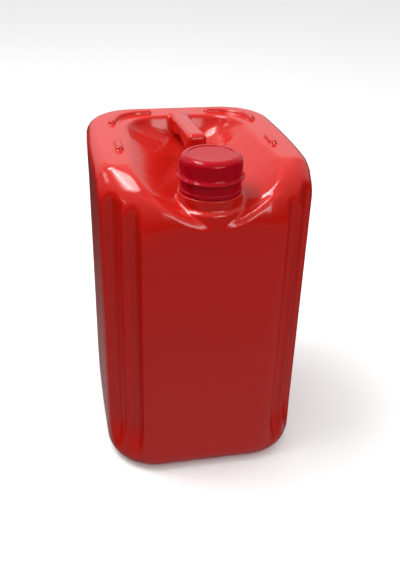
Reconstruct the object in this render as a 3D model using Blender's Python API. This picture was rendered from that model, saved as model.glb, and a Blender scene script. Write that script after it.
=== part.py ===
"""Plastic jerrycan of about 20 litres with an integral handle, a screw cap, a tamper ring and a gasket.

The can stands on z = 0 with its neck towards -Y and its handle along Y. Lengths are in metres.
"""

from math import cos, hypot, pi, radians, sin

import bmesh
import bpy
from mathutils import Vector

# The blow moulded body
WIDTH = 0.245
DEPTH = 0.293
PAD_HEIGHT = 0.391
WALL = 0.0022
CORNER_RADIUS = 0.0645
EDGE_RADIUS = 0.017
BASE_RADIUS = 0.022
SIDE_BULGE = 0.0030

# The two grooves down each corner
GROOVE_DEPTH = 0.0094
GROOVE_ANGLE = radians(15)
GROOVE_END = 0.012
GROOVE_FADE = 0.030

# The underside
FOOT_WIDTH = 0.014
BASE_RECESS = 0.006
BASE_RECESS_SLOPE = 0.010

# The pads round the top, and the dish between them
PAD_WIDTH_BACK = 0.0565
PAD_WIDTH_SIDE_BACK = 0.0505
PAD_WIDTH_SIDE_FRONT = 0.0395
FRONT_SLOPE_LENGTH = 0.0705
FRONT_SLOPE_FALL = 0.033
DISH_BACK_RADIUS = 0.018
DISH_WALL_LEAN = 0.006
DISH_CURVE = 1.3
DISH_NARROWING = 0.014
DISH_REAR_SLOPE = 0.025
DISH_GRIP_SLOPE = 0.045
DISH_DEPTH_FRONT = 0.055
DISH_DEPTH_NECK = 0.046
DISH_DEPTH_MIDDLE = 0.043
DISH_DEPTH_HANDLE = 0.040
DISH_DEPTH_REAR = 0.034
DISH_DEPTH_BACK = 0.024

# The front rim, by share of the way from the side pads to the middle of the front:
# fall below the pads, reach and height of the rounding, and distance of the dish from the outside
FRONT_RIM = (
    (0.00, 0.0000, EDGE_RADIUS, EDGE_RADIUS, PAD_WIDTH_SIDE_FRONT),
    (0.04, 0.0002, 0.0260, 0.0230, 0.0405),
    (0.11, 0.0008, 0.0340, 0.0310, 0.0400),
    (0.24, 0.0020, 0.0350, 0.0400, 0.0375),
    (0.35, 0.0042, 0.0325, 0.0420, 0.0335),
    (0.45, 0.0080, 0.0270, 0.0400, 0.0280),
    (0.60, 0.0180, 0.0175, 0.0260, 0.0185),
    (0.68, 0.0280, 0.0155, 0.0180, 0.0165),
    (0.76, 0.0370, 0.0130, 0.0130, 0.0150),
    (0.85, 0.0430, 0.0120, 0.0120, 0.0140),
    (1.00, 0.0475, 0.0120, 0.0120, 0.0140),
)

# The raised ribs on the pads
RIB_HEIGHT = 0.004
RIB_WIDTH = 0.007
RIB_INSET = 0.0315
RIB_BACK_INSET = 0.038
RIB_BEND = 0.044
LONG_RIB_SIDE_END = 0.0765
LONG_RIB_BACK_END = 0.040
SHORT_RIB_START = 0.1135
SHORT_RIB_LENGTH = 0.029

# The handle
HANDLE_WIDTH = 0.0235
HANDLE_THICKNESS = 0.023
HANDLE_LENGTH = 0.118
HANDLE_RISE = 0.014
HANDLE_LEG = 0.022
HANDLE_BEND = 0.008
HANDLE_INNER_BEND = 0.010
HANDLE_ROUND = 0.006
HANDLE_WALL = 0.003
HANDLE_ROOT = 0.012

# The neck
NECK_INSET = 0.043
PEDESTAL_DROP = 0.036
PEDESTAL_RADIUS = 0.0428
PEDESTAL_ROUND = 0.0024
COLLAR_RADIUS = 0.036
COLLAR_RISE = 0.012
NECK_RADIUS = 0.0282
NECK_RISE = 0.0364
NECK_ROUND = 0.0012
BORE_RADIUS = 0.0245
BEAD_RISE = 0.013
BEAD_REACH = 0.0030
BEAD_THICKNESS = 0.0026
THREAD_PITCH = 0.006
THREAD_WIDTH = 0.0024
NECK_THREAD_REACH = 0.0014
NECK_THREAD_START = 0.0129
NECK_THREAD_TURNS = 1.35

# The gasket, the cap and the tamper ring
FIT_GAP = 0.0003
GASKET_THICKNESS = 0.0018
GASKET_WIDTH = 0.0062
CAP_CLEARANCE = 0.0030
CAP_WALL = 0.0030
CAP_TOP_WALL = 0.0024
CAP_HEIGHT = 0.0230
CAP_SHOULDER = 0.0050
CAP_DISC_INSET = 0.0092
CAP_DISC_DEPTH = 0.0010
CAP_LIP_REACH = 0.0031
CAP_LIP_HEIGHT = 0.0030
CAP_THREAD_REACH = 0.0022
CAP_THREAD_TURNS = 1.1
RING_GAP = 0.0006
RING_COLLAR_GAP = 0.0014
RING_CLEARANCE = 0.0009
RING_WALL = 0.0017
RING_FOOT_REACH = 0.0009
RING_FOOT_HEIGHT = 0.0040
RING_CATCH_REACH = 0.0012
RING_CATCH_HEIGHT = 0.0040

# What follows from the sizes above
HALF_FRONT = WIDTH / 2 - CORNER_RADIUS
HALF_SIDE = DEPTH / 2 - CORNER_RADIUS
PAD_FRONT = FRONT_SLOPE_LENGTH - DEPTH / 2
DISH_BACK = DEPTH / 2 - PAD_WIDTH_BACK
DISH_HALF_FRONT = WIDTH / 2 - PAD_WIDTH_SIDE_FRONT
DISH_HALF_BACK = WIDTH / 2 - PAD_WIDTH_SIDE_BACK
NECK_Y = NECK_INSET - DEPTH / 2
HANDLE_FRONT = DISH_BACK - HANDLE_LENGTH
HANDLE_HEIGHT = PAD_HEIGHT + HANDLE_RISE
PEDESTAL_HEIGHT = PAD_HEIGHT - PEDESTAL_DROP
COLLAR_HEIGHT = PEDESTAL_HEIGHT + COLLAR_RISE
NECK_HEIGHT = COLLAR_HEIGHT + NECK_RISE
BEAD_TOP = COLLAR_HEIGHT + BEAD_RISE
BEAD_RADIUS = NECK_RADIUS + BEAD_REACH
NECK_THREAD_HEIGHT = NECK_HEIGHT - NECK_THREAD_START
CAP_INNER_RADIUS = NECK_RADIUS + CAP_CLEARANCE
CAP_RADIUS = CAP_INNER_RADIUS + CAP_WALL
CAP_CEILING = NECK_HEIGHT + GASKET_THICKNESS + 2 * FIT_GAP
CAP_TOP = CAP_CEILING + CAP_TOP_WALL + CAP_DISC_DEPTH
CAP_FOOT = CAP_TOP - CAP_HEIGHT
RING_TOP = CAP_FOOT - RING_GAP
RING_FOOT = COLLAR_HEIGHT + RING_COLLAR_GAP
RING_INNER_RADIUS = BEAD_RADIUS + RING_CLEARANCE

# The middle line of the dish: place along Y and depth below the pads
DISH_FLOOR = (
    (-DEPTH / 2, DISH_DEPTH_FRONT),
    (NECK_Y + NECK_INSET, DISH_DEPTH_NECK),
    (HANDLE_FRONT + HANDLE_LEG + HANDLE_ROUND, DISH_DEPTH_MIDDLE),
    (DISH_BACK - DISH_GRIP_SLOPE, DISH_DEPTH_HANDLE),
    (DISH_BACK - DISH_REAR_SLOPE, DISH_DEPTH_REAR),
    (DISH_BACK, DISH_DEPTH_BACK),
)

# How finely curves are divided
ROUND_SIDES = 48
EDGE_STEPS = 4
GROOVE_STEPS = 12
STRAIGHT_STEPS = 4


def plastic(name, colour, roughness):
    """A plain moulded plastic material."""
    material = bpy.data.materials.new(name)
    material.use_nodes = True
    shader = material.node_tree.nodes["Principled BSDF"]
    shader.inputs["Base Color"].default_value = colour
    shader.inputs["Roughness"].default_value = roughness
    shader.inputs["Metallic"].default_value = 0.0
    return material


def clamp(value):
    return min(max(value, 0.0), 1.0)


def smooth(value):
    value = clamp(value)
    return value * value * (3 - 2 * value)


def mix(low, high, share):
    return low + (high - low) * share


def between(table, place):
    """The row of a table at a place between two of its rows."""
    for low, high in zip(table, table[1:]):
        if place <= high[0]:
            part = clamp((place - low[0]) / (high[0] - low[0]))
            return tuple(mix(a, b, part) for a, b in zip(low[1:], high[1:]))
    return table[-1][1:]


def new_object(mesh, name, parent=None):
    """An object from a bmesh, shaded smooth but for its sharp edges."""
    data = bpy.data.meshes.new(name)
    mesh.to_mesh(data)
    mesh.free()
    data.shade_smooth()
    data.set_sharp_from_angle(angle=radians(35))
    item = bpy.data.objects.new(name, data)
    bpy.context.scene.collection.objects.link(item)
    item.parent = parent
    return item


def loft(name, sections, parent=None):
    """A closed solid through closed sections of equal point count, from the first to the last."""
    mesh = bmesh.new()
    rings = [[mesh.verts.new(point) for point in section] for section in sections]
    for low, high in zip(rings, rings[1:]):
        for i in range(len(low)):
            j = (i + 1) % len(low)
            mesh.faces.new((low[i], low[j], high[j], high[i]))
    for ring in (rings[0], rings[-1]):
        mesh.faces.new(ring)
    bmesh.ops.recalc_face_normals(mesh, faces=mesh.faces)
    return new_object(mesh, name, parent)


def turned(name, profile, parent, closed=False):
    """A solid turned about its parent's vertical axis. The profile runs down its outer side."""
    mesh = bmesh.new()
    points = [mesh.verts.new((radius, 0.0, z)) for radius, z in profile]
    for low, high in zip(points, points[1:]):
        mesh.edges.new((low, high))
    if closed:
        mesh.edges.new((points[-1], points[0]))
    item = new_object(mesh, name, parent)
    item.rotation_euler.z = pi / ROUND_SIDES
    turn = item.modifiers.new("Turn", "SCREW")
    turn.steps = turn.render_steps = ROUND_SIDES
    turn.use_merge_vertices = True
    turn.merge_threshold = 1e-5
    return item


def combine(item, other, operation, solver="EXACT"):
    """Joins another solid to an object or cuts it out. The other one stays as a hidden helper."""
    other.hide_render = True
    other.display_type = "WIRE"
    modifier = item.modifiers.new(operation.title() + " " + other.name, "BOOLEAN")
    modifier.object = other
    modifier.operation = operation
    modifier.solver = solver


def stations():
    """The columns round the right half of the can, from the middle of the back to that of the front.

    Each is a zone and a place in it: a distance from the middle, or an angle round the corner from the side.
    """
    straight = [HALF_FRONT * i / STRAIGHT_STEPS for i in range(STRAIGHT_STEPS + 1)]
    first = pi / 4 - 2 * GROOVE_ANGLE
    corner = [0.0] + [mix(first, pi / 2 - first, i / GROOVE_STEPS) for i in range(GROOVE_STEPS + 1)]
    side = [mix(HALF_SIDE, PAD_FRONT, i / STRAIGHT_STEPS) for i in range(STRAIGHT_STEPS + 1)]
    columns = [("back", place) for place in straight[:-1]]
    columns += [("back corner", pi / 2 - angle) for angle in corner]
    columns += [("side", place) for place in side]
    columns += [("side", mix(PAD_FRONT, -HALF_SIDE, 0.5))]
    columns += [("front corner", angle) for angle in corner]
    columns += [("front", place) for place in reversed(straight)]
    return columns


def groove(angle):
    """How deep the corner is cut at an angle, as a share of the groove depth."""
    for centre in (pi / 4 - GROOVE_ANGLE, pi / 4 + GROOVE_ANGLE):
        away = abs(angle - centre) / GROOVE_ANGLE
        if away < 1:
            return 0.5 + 0.5 * cos(pi * away)
    return 0.0


def outline(column, inset, cut=0.0, bulge=0.0):
    """The plan point of a column on the outline moved in by inset, with grooves of depth cut."""
    zone, place = column
    if zone == "back":
        return place, DEPTH / 2 - inset
    if zone == "front":
        return place, inset - DEPTH / 2
    if zone == "side":
        return WIDTH / 2 - inset + bulge * (1 - (place / HALF_SIDE) ** 2), place
    radius = CORNER_RADIUS - hypot(inset, cut * groove(place))
    sign = 1 if zone == "back corner" else -1
    return HALF_FRONT + radius * cos(place), sign * (HALF_SIDE + radius * sin(place))


def rim(column):
    """The fall, reach, height and dish distance of the top edge at a column, as in FRONT_RIM."""
    zone, place = column
    to_corner = PAD_FRONT + HALF_SIDE
    to_front = to_corner + CORNER_RADIUS * pi / 2
    run = -1.0
    if zone == "side":
        run = PAD_FRONT - place
    elif zone == "front corner":
        run = to_corner + CORNER_RADIUS * place
    elif zone == "front":
        run = to_front + HALF_FRONT - place
    return between(FRONT_RIM, run / (to_front + HALF_FRONT))


def dish_edge(column):
    """The plan point where the pad or the front rim meets the dish."""
    zone, place = column
    centre_x = DISH_HALF_BACK - DISH_BACK_RADIUS
    centre_y = DISH_BACK - DISH_BACK_RADIUS
    if zone == "back":
        return centre_x * place / HALF_FRONT, DISH_BACK
    if zone == "back corner":
        return centre_x + DISH_BACK_RADIUS * cos(place), centre_y + DISH_BACK_RADIUS * sin(place)
    if zone == "side" and place >= PAD_FRONT:
        part = (HALF_SIDE - place) / (HALF_SIDE - PAD_FRONT)
        return mix(DISH_HALF_BACK, DISH_HALF_FRONT, part), mix(centre_y, PAD_FRONT, part)
    _, reach, _, distance = rim(column)
    cut = GROOVE_DEPTH * groove(place) if zone == "front corner" else 0.0
    return outline(column, max(distance, hypot(reach, cut) + 0.001))


def dish_height(x, y):
    """Height of the dish: two slopes that fall from the pads to a trough along the middle."""
    floor = PAD_HEIGHT - between(DISH_FLOOR, y)[0]
    ahead = clamp((PAD_FRONT - y) / FRONT_SLOPE_LENGTH)
    edge_height = PAD_HEIGHT - FRONT_SLOPE_FALL * ahead * ahead
    along = clamp((y - PAD_FRONT) / (DISH_BACK - PAD_FRONT))
    edge = mix(DISH_HALF_FRONT, DISH_HALF_BACK, along) - DISH_NARROWING * ahead * ahead
    return floor + (edge_height - floor) * clamp(abs(x) / edge) ** DISH_CURVE


def shell(name, offset):
    """The can's skin moved in by offset, as a loft from the middle of the base to that of the dish."""
    columns = stations()
    rings = []

    def level(inset, z, cut, bulge=0.0):
        rings.append([(*outline(column, inset + offset, cut, bulge), z) for column in columns])

    def groove_cut(z):
        return GROOVE_DEPTH * smooth((z - GROOVE_END) / GROOVE_FADE)

    foot = BASE_RADIUS + FOOT_WIDTH - offset
    level(foot + 2 * BASE_RECESS_SLOPE, BASE_RECESS + offset, 0.0)
    level(foot + BASE_RECESS_SLOPE, BASE_RECESS + offset, 0.0)
    level(foot, offset, 0.0)
    for i in range(EDGE_STEPS + 1):
        turn = pi / 2 * i / EDGE_STEPS
        z = offset + (BASE_RADIUS - offset) * (1 - cos(turn))
        level((BASE_RADIUS - offset) * (1 - sin(turn)), z, groove_cut(z))
    for share in (0.4, 0.75, 1.0):
        z = mix(BASE_RADIUS, GROOVE_END + GROOVE_FADE, share)
        level(0.0, z, groove_cut(z), SIDE_BULGE * mix(0.5, 1.0, share))
    level(0.0, PAD_HEIGHT / 2, GROOVE_DEPTH, SIDE_BULGE * 0.7)

    for i in range(EDGE_STEPS + 2):
        turn = pi / 2 * i / (EDGE_STEPS + 1)
        ring = []
        for column in columns:
            fall, reach, height, _ = rim(column)
            x, y = outline(column, offset + (reach - offset) * (1 - cos(turn)), GROOVE_DEPTH)
            ring.append((x, y, PAD_HEIGHT - fall - offset - (height - offset) * (1 - sin(turn))))
        rings.append(ring)

    middle = HANDLE_FRONT + HANDLE_LEG / 2
    edge = []
    for column in columns:
        x, y = dish_edge(column)
        fall = rim(column)[0]
        grow = 1 + offset * clamp(1 - fall / EDGE_RADIUS * 4) / hypot(x, y - middle)
        edge.append((x * grow, middle + (y - middle) * grow, PAD_HEIGHT - fall - offset))
    rings.append(edge)
    for share in (1.0, 0.8, 0.6, 0.4, 0.2):
        ring = []
        for x, y, z in edge:
            near = share * (1 - DISH_WALL_LEAN / hypot(x, y - middle))
            point = (x * near, middle + (y - middle) * near)
            ring.append((*point, min(dish_height(*point) - 1.2 * offset, z)))
        rings.append(ring)
    rings = [ring + [(-x, y, z) for x, y, z in ring[-2:0:-1]] for ring in rings]
    return loft(name, rings)


def handle_lines():
    """Pairs of outer and inner points in the plane X = 0, from the handle's root to its foot."""
    root = DISH_BACK + HANDLE_ROOT
    bend = HANDLE_FRONT + HANDLE_BEND
    slope = HANDLE_RISE / (root - bend)
    inner_height = HANDLE_HEIGHT - HANDLE_THICKNESS
    leg = HANDLE_FRONT + HANDLE_LEG
    lines = []
    for share in (0.0, 0.12, 0.30, 0.60, 0.85):
        y = mix(root, leg + HANDLE_INNER_BEND, share)
        top = PAD_HEIGHT - FIT_GAP + slope * (root - y)
        under = mix(PAD_HEIGHT - HANDLE_THICKNESS, inner_height, smooth(1.2 * share))
        lines.append(((y, top), (y, under)))
    for turn in (0.0, pi / 6, pi / 4, pi / 3, pi / 2):
        back, down = 1 - sin(turn), 1 - cos(turn)
        outer = (HANDLE_FRONT + HANDLE_BEND * back, HANDLE_HEIGHT - HANDLE_BEND * down)
        inner = (leg + HANDLE_INNER_BEND * back, inner_height - HANDLE_INNER_BEND * down)
        lines.append((outer, inner))
    below = inner_height - 1.6 * HANDLE_INNER_BEND
    foot = PAD_HEIGHT - DISH_DEPTH_MIDDLE - 2 * WALL
    lines.append(((HANDLE_FRONT, below), (leg, below)))
    lines.append(((HANDLE_FRONT, foot), (leg, foot)))
    return lines


def handle(name, shrink):
    """The handle as a bar with rounded edges, from the back rim forward and down into the dish."""
    half_width = HANDLE_WIDTH / 2 - shrink
    rounding = HANDLE_ROUND - shrink
    lines = handle_lines()
    if shrink > 0:
        lines[-1] = tuple((y, z - 4 * shrink) for y, z in lines[-1])
    sections = []
    for outer, inner in lines:
        outer, inner = Vector(outer), Vector(inner)
        middle, way = (outer + inner) / 2, (outer - inner).normalized()
        half_thick = (outer - inner).length / 2 - shrink
        section = []
        for corner, (side, up) in enumerate(((1, 1), (-1, 1), (-1, -1), (1, -1))):
            for i in range(4):
                angle = pi / 2 * corner + pi / 6 * i
                across = side * (half_width - rounding) + rounding * cos(angle)
                point = middle + way * (up * (half_thick - rounding) + rounding * sin(angle))
                section.append((across, point.x, point.y))
        sections.append(section)
    return loft(name, sections)


def rib_paths():
    """The middle lines of the ribs on the right pads: one long rib round the corner, one short and straight."""
    side = WIDTH / 2 - RIB_INSET
    back = DEPTH / 2 - RIB_BACK_INSET
    side_end = DEPTH / 2 - LONG_RIB_SIDE_END
    long_rib = [(side, side_end)]
    for i in range(13):
        turn = pi / 2 * i / 12
        x = side - RIB_BEND * (1 - cos(turn))
        y = back - RIB_BEND * (1 - sin(turn))
        if y > side_end + RIB_WIDTH / 2 and x > LONG_RIB_BACK_END + RIB_WIDTH / 2:
            long_rib.append((x, y))
    long_rib.append((LONG_RIB_BACK_END, back))
    start = SHORT_RIB_START - DEPTH / 2
    return long_rib, [(side, start), (side, start + SHORT_RIB_LENGTH)]


def rib(name, path, side):
    """A raised rib with a domed section and round ends along a path, on the right or the left pads."""
    points = [Vector(point) for point in path]
    half = RIB_WIDTH / 2
    first = (points[1] - points[0]).normalized()
    last = (points[-1] - points[-2]).normalized()
    rows = []
    for turn in (75, 45, 0):
        rows.append((points[0] - first * half * sin(radians(turn)), first, cos(radians(turn))))
    for before, point, after in zip(points, points[1:], points[2:]):
        rows.append((point, (after - before).normalized(), 1.0))
    for turn in (0, 45, 75):
        rows.append((points[-1] + last * half * sin(radians(turn)), last, cos(radians(turn))))
    sections = []
    for centre, way, scale in rows:
        section = []
        for i in range(7):
            turn = pi * i / 6
            point = centre + Vector((way.y, -way.x)) * half * scale * cos(turn)
            rise = RIB_HEIGHT * (scale * sin(turn)) ** 0.5 if 0 < i < 6 else -WALL / 2
            section.append((side * point.x, point.y, PAD_HEIGHT + rise))
        sections.append(section)
    return loft(name, sections)


def thread(name, radius, reach, height, turns, parent):
    """A helical ridge that stands out of a wall of the given radius, inwards if its reach is negative."""
    steps = int(24 * turns)
    half = THREAD_WIDTH / 2
    root = radius - 0.4 * reach
    sections = []
    for i in range(steps + 1):
        turn = 2 * pi * turns * i / steps
        crest = radius + reach * mix(0.15, 1.0, smooth(min(i, steps - i) / 3))
        middle = height + THREAD_PITCH * turn / (2 * pi)
        ridge = ((root, -half), (crest, -0.4 * half), (crest, 0.4 * half), (root, half))
        sections.append([(r * cos(turn), r * sin(turn), middle + z) for r, z in ridge])
    return loft(name, sections, parent)


def make_body(axis):
    """The one blow moulding: can, hollow handle, pads with ribs, pedestal, collar and threaded neck."""
    body = shell("body", 0.0)
    combine(body, handle("handle_bar", 0.0), "UNION")
    for index, path in enumerate(rib_paths()):
        for side in (1, -1):
            # The EXACT solver leaves open slivers where a rib's flank runs along a pad's edge lines.
            combine(body, rib("rib_%d_%d" % (index, side), path, side), "UNION", "MANIFOLD")
    root = PEDESTAL_HEIGHT - BASE_RADIUS - CORNER_RADIUS / 6
    neck_profile = [
        (0.0, NECK_HEIGHT),
        (NECK_RADIUS - NECK_ROUND, NECK_HEIGHT),
        (NECK_RADIUS, NECK_HEIGHT - NECK_ROUND),
        (NECK_RADIUS, BEAD_TOP),
        (BEAD_RADIUS, BEAD_TOP - 0.6 * BEAD_THICKNESS),
        (BEAD_RADIUS, BEAD_TOP - 0.85 * BEAD_THICKNESS),
        (NECK_RADIUS, BEAD_TOP - BEAD_THICKNESS),
        (NECK_RADIUS, COLLAR_HEIGHT),
        (COLLAR_RADIUS - NECK_ROUND, COLLAR_HEIGHT),
        (COLLAR_RADIUS, COLLAR_HEIGHT - NECK_ROUND),
        (COLLAR_RADIUS, PEDESTAL_HEIGHT + 2 * NECK_ROUND),
        (COLLAR_RADIUS + NECK_ROUND, PEDESTAL_HEIGHT),
        (PEDESTAL_RADIUS - PEDESTAL_ROUND, PEDESTAL_HEIGHT),
        (PEDESTAL_RADIUS, PEDESTAL_HEIGHT - PEDESTAL_ROUND),
        (PEDESTAL_RADIUS, root),
        (0.0, root),
    ]
    combine(body, turned("neck_blank", neck_profile, axis), "UNION")
    ridge = thread("neck_thread", NECK_RADIUS, NECK_THREAD_REACH, NECK_THREAD_HEIGHT, NECK_THREAD_TURNS, axis)
    # Here too the EXACT solver leaves slivers, where the thread's ends run out into the neck.
    combine(body, ridge, "UNION", "MANIFOLD")

    cavity = shell("cavity", WALL)
    combine(cavity, handle("handle_core", HANDLE_WALL), "UNION")
    inner = PEDESTAL_RADIUS - WALL
    step = COLLAR_RADIUS - 2 * WALL
    bore_profile = [
        (0.0, NECK_HEIGHT + WALL),
        (BORE_RADIUS, NECK_HEIGHT + WALL),
        (BORE_RADIUS, COLLAR_HEIGHT - WALL),
        (step, COLLAR_HEIGHT - 2 * WALL),
        (step, PEDESTAL_HEIGHT - WALL),
        (inner - PEDESTAL_ROUND, PEDESTAL_HEIGHT - WALL),
        (inner, PEDESTAL_HEIGHT - WALL - PEDESTAL_ROUND),
        (inner, root - 2 * WALL),
        (0.0, root - 2 * WALL),
    ]
    combine(cavity, turned("bore", bore_profile, axis), "UNION")
    combine(body, cavity, "DIFFERENCE")
    return body


def make_cap(axis):
    """The screw cap: sunk top disc, rounded shoulder, skirt with a flared lip, and a thread inside."""
    shoulder = CAP_RADIUS - CAP_SHOULDER
    disc = CAP_RADIUS - CAP_DISC_INSET
    lip = CAP_RADIUS + CAP_LIP_REACH
    profile = [
        (0.0, CAP_TOP - CAP_DISC_DEPTH),
        (disc - CAP_DISC_DEPTH / 2, CAP_TOP - CAP_DISC_DEPTH),
        (disc, CAP_TOP),
    ]
    for i in range(5):
        turn = pi / 2 * i / 4
        profile.append((shoulder + CAP_SHOULDER * sin(turn), CAP_TOP - CAP_SHOULDER * (1 - cos(turn))))
    profile += [
        (CAP_RADIUS, CAP_FOOT + CAP_LIP_HEIGHT + 0.7 * CAP_LIP_REACH),
        (lip - 0.2 * CAP_LIP_REACH, CAP_FOOT + 0.8 * CAP_LIP_HEIGHT),
        (lip, CAP_FOOT + 0.5 * CAP_LIP_HEIGHT),
        (lip - 0.2 * CAP_LIP_REACH, CAP_FOOT),
        (CAP_INNER_RADIUS, CAP_FOOT),
        (CAP_INNER_RADIUS, CAP_CEILING),
        (0.0, CAP_CEILING),
    ]
    cap = turned("cap", profile, axis)
    height = NECK_THREAD_HEIGHT - THREAD_PITCH / 2
    ridge = thread("cap_thread", CAP_INNER_RADIUS, -CAP_THREAD_REACH, height, CAP_THREAD_TURNS, axis)
    combine(cap, ridge, "UNION")
    return cap


def make_tamper_ring(axis):
    """The tamper ring that stays on the neck, held under the neck's bead by the catch inside it."""
    outer = RING_INNER_RADIUS + RING_WALL
    foot = outer + RING_FOOT_REACH
    catch = BEAD_TOP - BEAD_THICKNESS - FIT_GAP
    profile = [
        (outer, RING_TOP),
        (outer, RING_FOOT + RING_FOOT_HEIGHT + RING_FOOT_REACH),
        (foot, RING_FOOT + RING_FOOT_HEIGHT),
        (foot, RING_FOOT + RING_FOOT_REACH / 2),
        (foot - RING_FOOT_REACH / 2, RING_FOOT),
        (RING_INNER_RADIUS, RING_FOOT),
        (RING_INNER_RADIUS, catch - RING_CATCH_HEIGHT),
        (RING_INNER_RADIUS - RING_CATCH_REACH, catch),
        (RING_INNER_RADIUS, catch + 2 * FIT_GAP),
        (RING_INNER_RADIUS, RING_TOP),
    ]
    return turned("tamper_ring", profile, axis, closed=True)


def make_gasket(axis):
    """The flat gasket between the cap's ceiling and the neck's rim."""
    outer = CAP_INNER_RADIUS - CAP_CLEARANCE / 2
    high = CAP_CEILING - FIT_GAP
    low = high - GASKET_THICKNESS
    inner = outer - GASKET_WIDTH
    profile = [(outer, high), (outer, low), (inner, low), (inner, high)]
    return turned("cap_gasket", profile, axis, closed=True)


for old in list(bpy.data.objects):
    bpy.data.objects.remove(old, do_unlink=True)

closure_axis = bpy.data.objects.new("closure_axis", None)
closure_axis.location = (0.0, NECK_Y, 0.0)
bpy.context.scene.collection.objects.link(closure_axis)

can_red = plastic("can_red", (0.48, 0.012, 0.011, 1.0), 0.36)
cap_crimson = plastic("cap_crimson", (0.35, 0.002, 0.022, 1.0), 0.24)
gasket_white = plastic("gasket_white", (0.72, 0.71, 0.68, 1.0), 0.60)

for piece, material in (
    (make_body(closure_axis), can_red),
    (make_cap(closure_axis), cap_crimson),
    (make_tamper_ring(closure_axis), cap_crimson),
    (make_gasket(closure_axis), gasket_white),
):
    piece.data.materials.append(material)
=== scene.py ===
"""Looks of a red plastic jerrycan with a crimson screw cap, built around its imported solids.

Lengths are in metres. The can stands on z = 0 with its neck towards -Y and its handle along Y.
"""

from math import ceil, cos, pi, radians, sin

import bpy
import numpy as np
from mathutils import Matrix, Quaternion, Vector


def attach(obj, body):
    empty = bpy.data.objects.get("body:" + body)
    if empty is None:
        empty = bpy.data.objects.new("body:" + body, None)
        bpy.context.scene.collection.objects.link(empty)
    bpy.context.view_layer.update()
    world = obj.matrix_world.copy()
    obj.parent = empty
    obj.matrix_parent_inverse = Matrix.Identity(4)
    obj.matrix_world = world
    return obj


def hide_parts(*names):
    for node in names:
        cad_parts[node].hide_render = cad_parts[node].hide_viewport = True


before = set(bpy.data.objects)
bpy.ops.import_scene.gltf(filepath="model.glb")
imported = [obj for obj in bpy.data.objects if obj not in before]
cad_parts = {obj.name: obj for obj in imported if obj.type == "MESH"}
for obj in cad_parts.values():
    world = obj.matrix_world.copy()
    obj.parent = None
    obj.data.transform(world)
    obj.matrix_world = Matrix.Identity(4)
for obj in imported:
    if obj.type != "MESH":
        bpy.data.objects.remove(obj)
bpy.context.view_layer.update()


# The can
# One blow moulding of red polyethylene: walls with two grooves down each corner, flat pads round the top with
# a dish between them, a hollow carrying handle over the dish, raised stacking ribs, a round seat that carries
# the neck, and the fine raised line where the two halves of the mould met.

# The walls, and which share of their swell the long ones have at each height
HALF_WIDTH = 0.1225
HALF_DEPTH = 0.1462
CORNER_RADIUS = 0.0645
WALL = 0.0026
SIDE_SWELL = 0.0028
SWELL_AT = (0.0, 0.03, 0.07, 0.15, 0.25, 0.32, 0.36, 0.41)
SWELL_SHARE = (0.0, 0.5, 0.9, 0.75, 0.5, 0.7, 0.95, 1.0)


def smooth(value):
    """Goes from 0 to 1 without a kink while the value does."""
    value = np.clip(value, 0.0, 1.0)
    return value * value * (3 - 2 * value)


def meet(a, b, radius):
    """The solid that two solids share, with its edge rounded. Each is a distance, negative inside."""
    rounded = np.hypot(np.maximum(radius + a, 0), np.maximum(radius + b, 0))
    return np.minimum(-radius, np.maximum(a, b)) + rounded


def blend(a, b, radius):
    """Two solids joined, with a fillet between them."""
    rounded = np.hypot(np.maximum(radius - a, 0), np.maximum(radius - b, 0))
    return np.maximum(radius, np.minimum(a, b)) - rounded


def walls(x, y, z):
    """The upright walls: a rounded rectangle with slightly swollen sides."""
    across = np.abs(x) - (HALF_WIDTH - CORNER_RADIUS)
    along = np.abs(y) - (HALF_DEPTH - CORNER_RADIUS)
    corner = (across > 0) & (along > 0)
    distance = np.where(corner, np.hypot(across, along), np.maximum(across, along)) - CORNER_RADIUS
    share = np.interp(z, SWELL_AT, SWELL_SHARE)
    swell = SIDE_SWELL * np.clip(1 - (y / (HALF_DEPTH - CORNER_RADIUS)) ** 2, 0, 1) * share
    return distance - np.where(across > along, swell, 0.0)


# The grooves: each one's turn round its corner, its radius and its depth. They fade in from GROOVE_FOOT,
# where they would stand clear of the corner, and are at full depth GROOVE_FADE higher.
GROOVE_SIDE = (radians(33), 0.0207, 0.0098)
GROOVE_END = (radians(57.5), 0.0122, 0.0100)
GROOVE_TOP_FRONT = 0.368
GROOVE_TOP_BACK = 0.352
GROOVE_FOOT = 0.010
GROOVE_FADE = 0.055
GROOVE_CLEAR = 0.001
GROOVE_EDGE = 0.003


def groove(x, y, z, turn, radius, depth):
    """How far inside one of the grooves down a corner a point is. They run out towards the foot."""
    fade = smooth((z - GROOVE_FOOT) / GROOVE_FADE)
    reach = CORNER_RADIUS - (depth + GROOVE_CLEAR) * fade + GROOVE_CLEAR + radius
    across = np.abs(x) - (HALF_WIDTH - CORNER_RADIUS) - reach * cos(turn)
    along = np.abs(y) - (HALF_DEPTH - CORNER_RADIUS) - reach * sin(turn)
    top = np.where(y < 0, GROOVE_TOP_FRONT, GROOVE_TOP_BACK)
    beyond = np.maximum(z - top, 0)
    return radius - np.sqrt(across * across + along * along + beyond * beyond)


# The pads' level and its fall towards the front, which leans first and then drops
PAD_HEIGHT = 0.391
SLOPE_START = -0.076
SLOPE_LENGTH = 0.0705
SLOPE_END = 1.2
SLOPE_LEAN = 0.008
SLOPE_FALL = 0.026
SLOPE_CURVE = 2.6

# The bank across the dish's front: low in the middle, higher to both sides, and lost in the dish behind it
BANK_LOW = 0.3425
BANK_GAIN = 0.0065
BANK_SPAN = 0.022
BANK_CURVE = 1.35
BANK_BACK = -0.128
BANK_LENGTH = 0.030
BANK_RISE = 0.08
BANK_ROUND = 0.006
MIDDLE_ROUND = 0.004


def down_slope(y):
    """How far down the slope at the front a point is, as a share of the slope's length."""
    return np.clip((SLOPE_START - y) / SLOPE_LENGTH, 0, SLOPE_END)


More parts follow.
